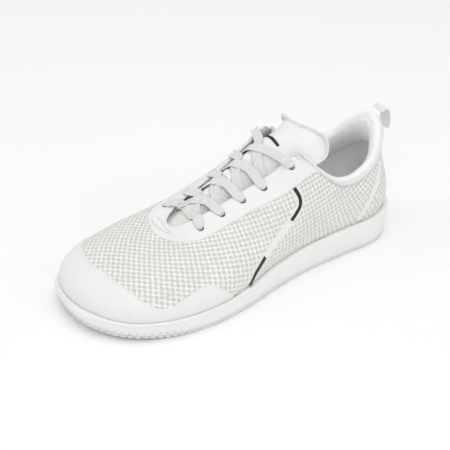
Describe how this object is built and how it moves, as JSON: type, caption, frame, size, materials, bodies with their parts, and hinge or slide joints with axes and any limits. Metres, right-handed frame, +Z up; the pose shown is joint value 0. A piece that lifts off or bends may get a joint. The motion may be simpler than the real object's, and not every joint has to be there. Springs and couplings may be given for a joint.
{
  "type": "running shoe",
  "caption": "Left low-cut running shoe: mesh knit upper with film overlays, flat laces through punched eyelets, padded collar, tongue, heel pull tab and a white cup sole.",
  "frame": {"origin": "On the underside of the outsole, on the floor plane, at the middle of the sole's length and of the tread's straightest width", "axes": "+Z up from the floor, +Y along the sole towards the heel, -Y towards the toe, +X towards the outer (lateral) side of the left foot"},
  "size_m": [0.1176, 0.2944, 0.1096],
  "materials": {
    "rubber": "white crepe rubber, fine matt grain, pale dirt in the tread",
    "foam": "white moulded EVA foam, satin, faint pebble grain",
    "board": "pressed fibre board and heat-set felt, matt",
    "knit": "ivory spacer knit with staggered open cells, matt yarn",
    "film": "white heat-bonded film, satin, softly embossed edge",
    "black_film": "black heat-bonded film, satin",
    "lining": "white brushed lining cloth, fine plain weave",
    "lace": "flat woven light grey-white lace with long ribs",
    "webbing": "light grey woven tape",
    "aglet": "clear-white shrunk plastic tip"
  },
  "bodies": {
    "shoe": {"outsole": "rubber", "midsole": "foam", "strobel_board": "board", "footbed_foam": "foam", "footbed_cover": "lining", "mesh_upper": "knit", "vamp_lining": "lining", "quarter_lining": "lining", "collar_foam": "foam", "toe_puff": "board", "heel_counter": "board", "toe_cap": "film", "eyestay": "film", "eyestay_backing_lateral": "board", "eyestay_backing_medial": "board", "throat_patch": "film", "side_stripe_upper": "black_film", "side_stripe_lower": "black_film", "heel_band_lateral": "film", "heel_band_medial": "film", "heel_seam_tape": "webbing", "collar_binding": "webbing", "tongue_base": "knit", "tongue_label": "film", "lace_keeper": "film", "lace": "lace", "aglet_lateral": "aglet", "aglet_medial": "aglet"},
    "tongue_top": {"tongue_flap": "lining", "tongue_binding": "webbing"},
    "heel_tab": {"pull_tab": "webbing"}
  },
  "joints": [
    {"name": "tongue_fold", "type": "hinge", "parent": "shoe", "child": "tongue_top", "pos_m": [-0.0028, 0.0425, 0.1042], "axis": [1, 0, 0], "range_deg": [-4, 35], "stiffness_Nm_per_rad": 0.05},
    {"name": "tab_flip", "type": "hinge", "parent": "shoe", "child": "heel_tab", "pos_m": [-0.003, 0.1395, 0.0992], "axis": [1, 0, 0], "range_deg": [0, 90], "stiffness_Nm_per_rad": 0.002}
  ]
}
